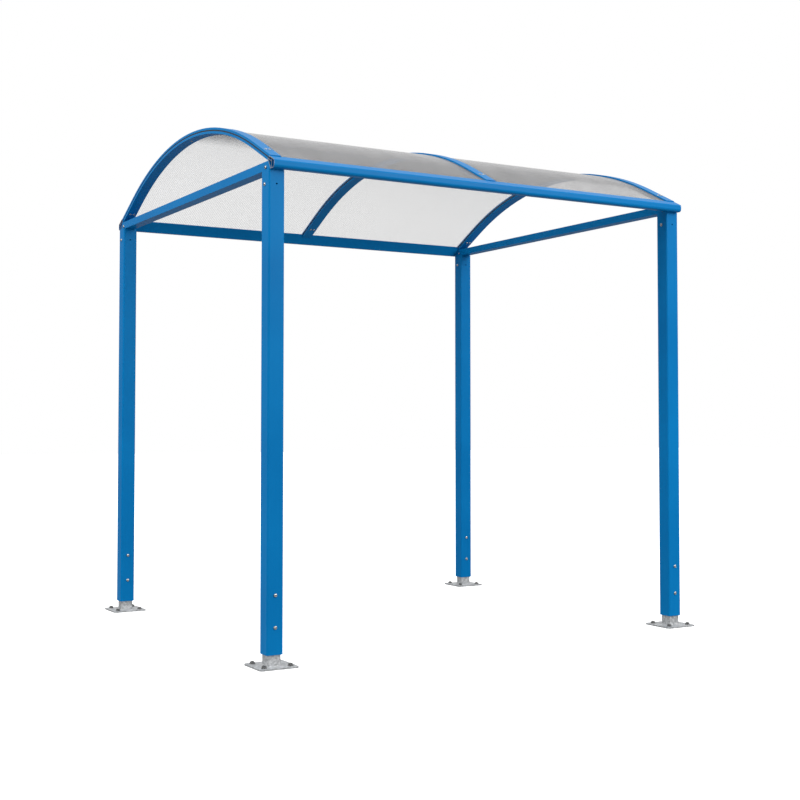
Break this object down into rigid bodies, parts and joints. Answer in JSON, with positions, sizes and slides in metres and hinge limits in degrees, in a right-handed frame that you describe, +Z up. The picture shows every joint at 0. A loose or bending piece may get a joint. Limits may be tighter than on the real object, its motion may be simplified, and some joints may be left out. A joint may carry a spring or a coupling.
{
  "type": "waiting shelter",
  "caption": "Open waiting shelter with square posts on bolt-down feet, eaves rails, ties and bent arches that carry a curved twin-wall roof.",
  "frame": {"origin": "on the ground, at the centre of the four posts", "axes": "+Z up; -Y is the front, +X is to the right seen from the front"},
  "size_m": [2.536, 2.226, 2.5857],
  "materials": {
    "blue_powder_coat": "smooth satin powder coat in sky blue",
    "galvanised_steel": "hot-dip galvanised, dull with faint spangle",
    "black_seal": "matt black extruded seal",
    "twin_wall_sheet": "clear twin-wall sheet with fine flutes from front to back",
    "plated_fixings": "bright zinc plate",
    "raw_aluminium": "bare sawn ends"
  },
  "bodies": {
    "root": {"base_plate_front_left": "galvanised_steel", "base_plate_front_right": "galvanised_steel", "base_plate_rear_left": "galvanised_steel", "base_plate_rear_right": "galvanised_steel", "stub_front_left": "galvanised_steel", "stub_front_right": "galvanised_steel", "stub_rear_left": "galvanised_steel", "stub_rear_right": "galvanised_steel", "post_front_left": "blue_powder_coat", "post_front_right": "blue_powder_coat", "post_rear_left": "blue_powder_coat", "post_rear_right": "blue_powder_coat", "rail_front": "blue_powder_coat", "rail_rear": "blue_powder_coat", "tie_left": "blue_powder_coat", "tie_right": "blue_powder_coat", "arch_left": "blue_powder_coat", "arch_middle": "blue_powder_coat", "arch_right": "blue_powder_coat", "cap_left": "blue_powder_coat", "cap_middle": "blue_powder_coat", "cap_right": "blue_powder_coat", "seal_left": "black_seal", "seal_right": "black_seal", "roof_sheet_left": "twin_wall_sheet", "roof_sheet_right": "twin_wall_sheet"}
  },
  "joints": []
}
